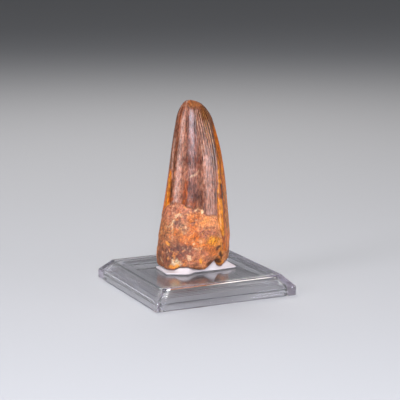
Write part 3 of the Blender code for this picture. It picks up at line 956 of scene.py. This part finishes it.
# %% Node helpers
class Nodes:
    """Short names for adding and linking shader nodes in one material."""

    def __init__(self, name):
        self.material = bpy.data.materials.new(name)
        self.material.use_nodes = True
        self.tree = self.material.node_tree
        self.shader = self.tree.nodes["Principled BSDF"]

    def add(self, kind, **settings):
        """A new node with its settings."""
        node = self.tree.nodes.new(kind)
        for key, value in settings.items():
            setattr(node, key, value)
        return node

    def link(self, source, target):
        """Join an output to an input, or set the input's own value."""
        if isinstance(source, bpy.types.NodeSocket):
            self.tree.links.new(source, target)
        else:
            target.default_value = source

    def math(self, operation, first, second=0.0, third=0.0, clamp=False):
        """A Math node."""
        node = self.add("ShaderNodeMath", operation=operation, use_clamp=clamp)
        for value, socket in zip((first, second, third), node.inputs):
            self.link(value, socket)
        return node.outputs[0]

    def mix(self, factor, first, second, blend="MIX"):
        """A colour Mix node."""
        node = self.add("ShaderNodeMix", data_type="RGBA", blend_type=blend)
        self.link(factor, node.inputs["Factor"])
        self.link(first, node.inputs[6])
        self.link(second, node.inputs[7])
        return node.outputs[2]

    def noise(self, scale, detail, roughness, stretch=(1, 1, 1)):
        """Noise from 0 to 1 on stretched Object coordinates, scale in waves per metre."""
        mapping = self.add("ShaderNodeMapping")
        node = self.add("ShaderNodeTexNoise")
        self.link(self.add("ShaderNodeTexCoord").outputs["Object"], mapping.inputs["Vector"])
        self.link(stretch, mapping.inputs["Scale"])
        self.link(mapping.outputs["Vector"], node.inputs["Vector"])
        self.link(scale, node.inputs["Scale"])
        self.link(detail, node.inputs["Detail"])
        self.link(roughness, node.inputs["Roughness"])
        return node.outputs["Fac"]

    def between(self, value, low, high):
        """0 at low and 1 at high, with a smooth S between."""
        node = self.add("ShaderNodeMapRange", interpolation_type="SMOOTHSTEP")
        self.link(value, node.inputs["Value"])
        self.link(low, node.inputs["From Min"])
        self.link(high, node.inputs["From Max"])
        return node.outputs["Result"]

    def stored(self, name, output="Fac"):
        """A number, or a colour, that the mesh stores per vertex."""
        return self.add("ShaderNodeAttribute", attribute_name=name).outputs[output]

    def bump(self, height, distance, strength):
        """Normals tilted by a height from 0 to 1 that stands for a distance in metres."""
        node = self.add("ShaderNodeBump")
        self.link(strength, node.inputs["Strength"])
        self.link(distance, node.inputs["Distance"])
        self.link(height, node.inputs["Height"])
        return node.outputs["Normal"]

    def set(self, **values):
        """Set or link the shader's inputs by name, underscores for spaces."""
        for key, value in values.items():
            self.link(value, self.shader.inputs[key.replace("_", " ")])


print("node helpers:", [name for name in vars(Nodes) if not name.startswith("_")])

# %% Fossil material
WORN_BROWN = (0.20, 0.062, 0.022, 1)
WORN_ORANGE = (0.38, 0.120, 0.025, 1)
PIT_BROWN = (0.10, 0.03, 0.012, 1)
GRAIN_DARK = (0.42, 0.35, 0.33, 1)
GRAIN_LIGHT = (1.0, 1.0, 1.0, 1)
WARM = (1.0, 0.88, 0.80, 1)
COOL = (0.93, 1.0, 1.0, 1)
# Noises: waves per metre, detail, roughness, stretch. Ranges: where a mix starts and is full
STRIA_WAVES = (2100, 3, 0.6, (1, 1, 0.16))
ROOT_GRAIN = (1900, 4, 0.75)
ENAMEL_GRAIN = (1900, 3, 0.7, (1, 1, 0.35))
CRUMB_WAVES = (900, 5, 0.7)
HUE_WAVES = (1300, 2, 0.5)
GRAIN_RANGE = (0.32, 0.62)
MIX_RANGE = (0.35, 0.65)
PIT_SHADE = 0.7
ROOT_ROUGHNESS = 0.52
ENAMEL_POLISH = 0.34
CRUMB_ROUGHNESS = 0.10
WORN_ROUGHNESS = 0.15
GRAIN_BUMP = 0.5
LINE_BUMP = 1.2
BUMP = (0.0001, 0.5)  # distance in metres, strength
ENAMEL_IOR = 1.52
GLOW = 0.22
GLOW_REACH = (0.0022, 0.0008, 0.0003)


def fossil_material():
    """The stored stains and painted light, a grain finer than the mesh, pits, the worn tip, gloss
    and fine bump.
    """
    n = Nodes("fossil")
    enamel = n.stored("enamel")
    striae = n.noise(*STRIA_WAVES)
    grain = n.mix(enamel, n.noise(*ROOT_GRAIN), n.noise(*ENAMEL_GRAIN))
    crumbs = n.noise(*CRUMB_WAVES)
    hue = n.noise(*HUE_WAVES)

    # Stored colours: stains, with painted sheen, glow and shade among them
    colour = n.stored("stain", "Color")
    worn_colour = n.mix(n.between(crumbs, *MIX_RANGE), WORN_BROWN, WORN_ORANGE)
    colour = n.mix(n.stored("worn"), colour, worn_colour)
    colour = n.mix(n.math("MULTIPLY", n.stored("pits"), PIT_SHADE), colour, PIT_BROWN)
    grain_colour = n.mix(n.between(grain, *GRAIN_RANGE), GRAIN_DARK, GRAIN_LIGHT)
    colour = n.mix(1.0, colour, grain_colour, "MULTIPLY")
    colour = n.mix(1.0, colour, n.mix(n.between(hue, *MIX_RANGE), WARM, COOL), "MULTIPLY")

    roughness = n.math("MULTIPLY_ADD", enamel, -ENAMEL_POLISH, ROOT_ROUGHNESS)
    roughness = n.math("MULTIPLY_ADD", crumbs, CRUMB_ROUGHNESS, roughness)
    roughness = n.math("MULTIPLY_ADD", n.stored("worn"), WORN_ROUGHNESS, roughness, clamp=True)
    n.set(Base_Color=colour, Roughness=roughness)
    fine = n.math("MULTIPLY_ADD", grain, GRAIN_BUMP, crumbs)
    fine = n.math("MULTIPLY_ADD", n.math("MULTIPLY", striae, enamel), LINE_BUMP, fine)
    n.set(Normal=n.bump(fine, *BUMP))
    n.set(IOR=ENAMEL_IOR, Subsurface_Weight=GLOW, Subsurface_Radius=GLOW_REACH)
    return n.material


tooth = make_tooth(fossil_material())
print("tooth:", len(tooth.data.polygons), "faces")

# %% [markdown]
# ## The putty
# White mounting putty is a soft adhesive. A flat strip of it is pressed on the base, and the
# tooth is pushed into it, so a mound rises into the gaps of the broken edge. The mesh goes
# from the strip's outline to the mound in rings, each a blend between the two outlines.

# %% Putty shape
# Millimetres, except counts and shares
GAP = 0.3
PUTTY_COLUMNS = 240
PUTTY_LEVEL = 8.0
SHEET_LOW = 6.95
SHEET_HIGH = 7.45
# Corners of the strip
SHEET_OUTLINE = [
    (-13.1, 2.7), (-13.5, -6.9), (-10.5, -8.6), (-7.3, -10.1), (-5.6, -9.4),
    (-3.8, -8.3), (4.0, -8.6), (11.5, -7.9), (12.0, 2.4),
]
# Rings of the strip: share of the way to the mound, height, how far in, share of the wave
SHEET_RINGS = [
    (0, SHEET_LOW, 0.12, 0), (0, SHEET_LOW + 0.1, 0, 0), (0, SHEET_HIGH - 0.12, 0, 0.3),
    (0, SHEET_HIGH - 0.02, 0.12, 0.3), (0.08, SHEET_HIGH, 0.1, 0),
]
# Rings up the mound, by share of the way, and rings that close it in the hollow
MOUND_SHARES = (0.25, 0.45, 0.62, 0.77, 0.9)
TOP_SHARES = (0.85, 0.6, 0.35)
MOUND_INSET = 1.1
MOUND_FOOT = 0.12
MOUND_MARGIN = 0.5
MOUND_WAVE = 0.3
TOP_RISE = 0.3
# The wave of the outline: height, and radius of its circle in the noise
WAVE_HEIGHT = 0.25
WAVE_RADIUS = 12
SIDE_SLACK = 1e-6


def outline_reach(angle, centre):
    """Distance from the centre to the strip's edge: the crossing of each ray with the sides."""
    corners = np.array(SHEET_OUTLINE) - centre
    ends = np.roll(corners, -1, axis=0)
    along = ends - corners
    ray = np.stack([np.cos(angle), np.sin(angle)], axis=-1)[:, None]
    cross = ray[..., 0] * along[:, 1] - ray[..., 1] * along[:, 0]
    reach = (corners[:, 0] * along[:, 1] - corners[:, 1] * along[:, 0]) / cross
    place = (corners[:, 0] * ray[..., 1] - corners[:, 1] * ray[..., 0]) / cross
    valid = (reach > 0) & (place >= -SIDE_SLACK) & (place <= 1 + SIDE_SLACK)
    return np.where(valid, reach, np.inf).min(axis=1)


def putty_grid():
    """Rings of the putty in millimetres, from the underside of the strip to the mound's top."""
    angle = np.linspace(-math.pi, math.pi, PUTTY_COLUMNS, endpoint=False)
    ray = np.stack([np.cos(angle), np.sin(angle)], axis=-1)
    centre = np.array([section_at(PUTTY_LEVEL)[2], CENTRE_Y])
    edge = outline_reach(angle, centre)
    rim = rim_height(angle)
    wall = (np.stack(section_at(rim)[:2], axis=-1) - MOUND_INSET) * ray
    shoulder = np.linalg.norm(wall, axis=1)
    wall *= np.minimum(1, (edge - MOUND_MARGIN) / shoulder)[:, None]
    shoulder_high = np.maximum(rim - GAP, SHEET_HIGH + MOUND_FOOT)
    circle = np.column_stack([ray * WAVE_RADIUS, 0 * angle])
    wave = (layered_noise(circle, size=2.4, seed=83) - 0.5) * WAVE_HEIGHT

    def ring(share_to_wall, height, inset=0.0):
        outer = ray * (edge - inset)[:, None]
        flat = outer + (wall - outer) * share_to_wall
        return np.column_stack([flat + centre, height + 0 * angle])

    rings = [ring(share, height, inset + wave * part) for share, height, inset, part in SHEET_RINGS]
    for share in MOUND_SHARES:
        climb = (shoulder_high - SHEET_HIGH) * smooth_step(0, 1, share)
        height = SHEET_HIGH + climb + wave * share * MOUND_WAVE
        rings.append(ring(share, np.maximum(height, SHEET_HIGH)))
    rings.append(ring(1, shoulder_high))
    for share in TOP_SHARES:
        top = shoulder_high + (HOLLOW_FOOT - shoulder_high) * (1 - share)
        rings.append(np.column_stack([wall * share + centre, top]))
    return np.stack(rings), centre


def make_putty(material):
    """The putty as one closed mesh."""
    grid, centre = putty_grid()
    low = (*(centre * MM), SHEET_LOW * MM)
    high = (*(centre * MM), (HOLLOW_FOOT + TOP_RISE) * MM)
    mesh = grid_mesh("putty_surface", grid * MM, low, high)
    return add_piece(mesh, "putty", material)


PUTTY_SHADES = ((0.55, 0.48, 0.48, 1), (0.66, 0.59, 0.58, 1))
PUTTY_MOTTLE = (400, 4, 0.6)
PUTTY_BUMPS = (900, 4, 0.5)
PUTTY_BUMP = (0.0002, 0.4)
PUTTY_ROUGHNESS = (0.15, 0.5)  # added by the mottle, least
PUTTY_GLOW = 0.1
PUTTY_GLOW_REACH = (0.0008, 0.0006, 0.0005)


def putty_material():
    """Soft white with a faint mottle and finger-smoothed bumps."""
    n = Nodes("white putty")
    mottle = n.noise(*PUTTY_MOTTLE)
    n.set(Base_Color=n.mix(mottle, *PUTTY_SHADES))
    n.set(Roughness=n.math("MULTIPLY_ADD", mottle, *PUTTY_ROUGHNESS))
    n.set(Normal=n.bump(n.noise(*PUTTY_BUMPS), *PUTTY_BUMP))
    n.set(Subsurface_Weight=PUTTY_GLOW, Subsurface_Radius=PUTTY_GLOW_REACH)
    return n.material


putty = make_putty(putty_material())
print("putty:", len(putty.data.polygons), "faces")

# %% [markdown]
# ## The clear base
# The base is one clear moulding with an open underside. Its look is all edges: each rounded
# edge bends the light that passes, and the inner wall shows through the outer one. So the
# mesh is a section line carried round a square with small corner arcs, outside and inside.
# Fine grooves on the inner bevel stand for the lines that a mould's cutter leaves there.

# %% Base shape
# Millimetres, except counts and shares
SIDE = 50.0
BAND = 2.9
BEVEL = 3.75
HEIGHT = BAND + BEVEL
WALL = 2.0
PLATE = 1.5
EDGE_ROUND = 0.36
INNER_ROUND = 1.1
OUTER_CORNER = 0.55
INNER_CORNER = 2.2
CORNER_STEPS = 7
SIDE_STEPS = 10
ARC_STEPS = 4
MOULD_LINES = (0.12, 0.38, 0.66, 0.90)
LINE_WIDTH = 0.24
LINE_DEPTH = 0.18
MIDDLE_HALF = 2.0
FOOT_RISE = 0.02
FOOT_STEP = 0.3
ROUNDEST = 0.9


def rounded_section(corners, radius):
    """An open line of (half side, height): a quadratic curve rounds each corner of the way."""
    line = [corners[0]]
    for before, at, after in zip(corners[:-2], corners[1:-1], corners[2:]):
        before, at, after = map(np.array, (before, at, after))
        start = at + (before - at) / np.linalg.norm(before - at) * radius
        end = at + (after - at) / np.linalg.norm(after - at) * radius
        for t in np.linspace(0, 1, ARC_STEPS + 1):
            line.append(start * (1 - t) ** 2 + 2 * at * t * (1 - t) + end * t ** 2)
    line.append(corners[-1])
    return [tuple(map(float, p)) for p in line]


def mould_lines(start, end):
    """Fine grooves across a straight run: each is three points, the middle one set back."""
    start, end = np.array(start), np.array(end)
    along = (end - start) / np.linalg.norm(end - start)
    back = np.array([-along[1], along[0]])
    line = []
    for share in MOULD_LINES:
        at = start + (end - start) * share
        line += [at - along * LINE_WIDTH / 2, at + back * LINE_DEPTH, at + along * LINE_WIDTH / 2]
    return [tuple(map(float, point)) for point in line]


def square_ring(half, radius, height):
    """A square of half side half with corner arcs, as one ring of points."""
    radius = min(radius, half * ROUNDEST)
    corners = []
    for start in np.arange(4) * math.pi / 2:
        arc = start + np.linspace(0, math.pi / 2, CORNER_STEPS + 1)
        middle = start + math.pi / 4
        centre = np.sign([math.cos(middle), math.sin(middle)]) * (half - radius)
        corners.append(centre + radius * np.stack([np.cos(arc), np.sin(arc)], axis=-1))
    ring = []
    t = np.linspace(0, 1, SIDE_STEPS + 1)[1:-1, None]
    for corner, following in zip(corners, corners[1:] + corners[:1]):
        ring += [corner, corner[-1] * (1 - t) + following[0] * t]
    flat = np.concatenate(ring)
    return np.column_stack([flat, np.full(len(flat), height)])


def base_grid():
    """Rings of the shell from the middle of the ceiling inside, round the rim, to the top."""
    half, inner = SIDE / 2, SIDE / 2 - WALL
    inner_high = HEIGHT - PLATE
    inner_band = BAND + WALL * (1 - math.sqrt(2))
    ceiling = inner - (inner_high - inner_band)
    inside = rounded_section(
        [(MIDDLE_HALF, inner_high), (ceiling, inner_high), (inner, inner_band), (inner, FOOT_RISE)],
        INNER_ROUND,
    )
    bend = ARC_STEPS + 2
    inside = inside[:bend] + mould_lines(inside[bend - 1], inside[bend]) + inside[bend:]
    foot, band, top = (half, 0), (half, BAND), (half - BEVEL, HEIGHT)
    outside = [(inner + FOOT_STEP, 0), foot, band, top, (MIDDLE_HALF, HEIGHT)]
    outside = rounded_section(outside, EDGE_ROUND)
    rings = [square_ring(h, INNER_CORNER * min(1, h / inner), z) for h, z in inside]
    rings += [square_ring(h, OUTER_CORNER, z) for h, z in outside]
    return np.stack(rings)


def make_base(material):
    """The clear shell as one closed mesh, with weighted normals so its flats stay flat."""
    grid = base_grid()
    low = (0, 0, (HEIGHT - PLATE) * MM)
    high = (0, 0, HEIGHT * MM)
    mesh = grid_mesh("base_shell", grid * MM, low, high)
    piece = add_piece(mesh, "base", material)
    weighted = piece.modifiers.new("Flat faces stay flat", "WEIGHTED_NORMAL")
    weighted.weight = 100
    return piece


# Noises: waves per metre, detail, roughness, stretch. Ranges: where a mix starts and is full
HAZE_WAVES = (60, 3, 0.5)
HAZE_RANGE = (0.4, 0.8)
SCRATCH_WAVES = (700, 2, 0.5, (1, 0.05, 1))
SCRATCH_RANGE = (0.62, 0.70)
SCRATCH_BUMP = (0.00002, 0.3)
PLASTIC_COLOUR = (0.97, 0.97, 0.99, 1)
PLASTIC_ROUGHNESS = (0.02, 0.005)  # added by the haze, least
PLASTIC_IOR = 1.52
PLASTIC_TINT = (0.84, 0.76, 0.90, 1)
TINT_DENSITY = 16.0


def clear_plastic():
    """Clear moulded plastic: full transmission, thin haze and scratches, an absorbing tint."""
    n = Nodes("clear plastic")
    haze = n.noise(*HAZE_WAVES)
    scratches = n.noise(*SCRATCH_WAVES)
    n.set(Base_Color=PLASTIC_COLOUR, Transmission_Weight=1.0, IOR=PLASTIC_IOR)
    n.set(Roughness=n.math("MULTIPLY_ADD", n.between(haze, *HAZE_RANGE), *PLASTIC_ROUGHNESS))
    n.set(Normal=n.bump(n.between(scratches, *SCRATCH_RANGE), *SCRATCH_BUMP))
    volume = n.add("ShaderNodeVolumeAbsorption")
    volume.inputs["Color"].default_value = PLASTIC_TINT
    volume.inputs["Density"].default_value = TINT_DENSITY
    output = n.tree.nodes["Material Output"]
    n.tree.links.new(volume.outputs["Volume"], output.inputs["Volume"])
    return n.material


base = make_base(clear_plastic())
print("base:", len(base.data.polygons), "faces")

# %% [markdown]
# ## Sizes
# The visible model has to fill the same box as the CAD solids. The CAD box is printed at the
# start, in millimetres.
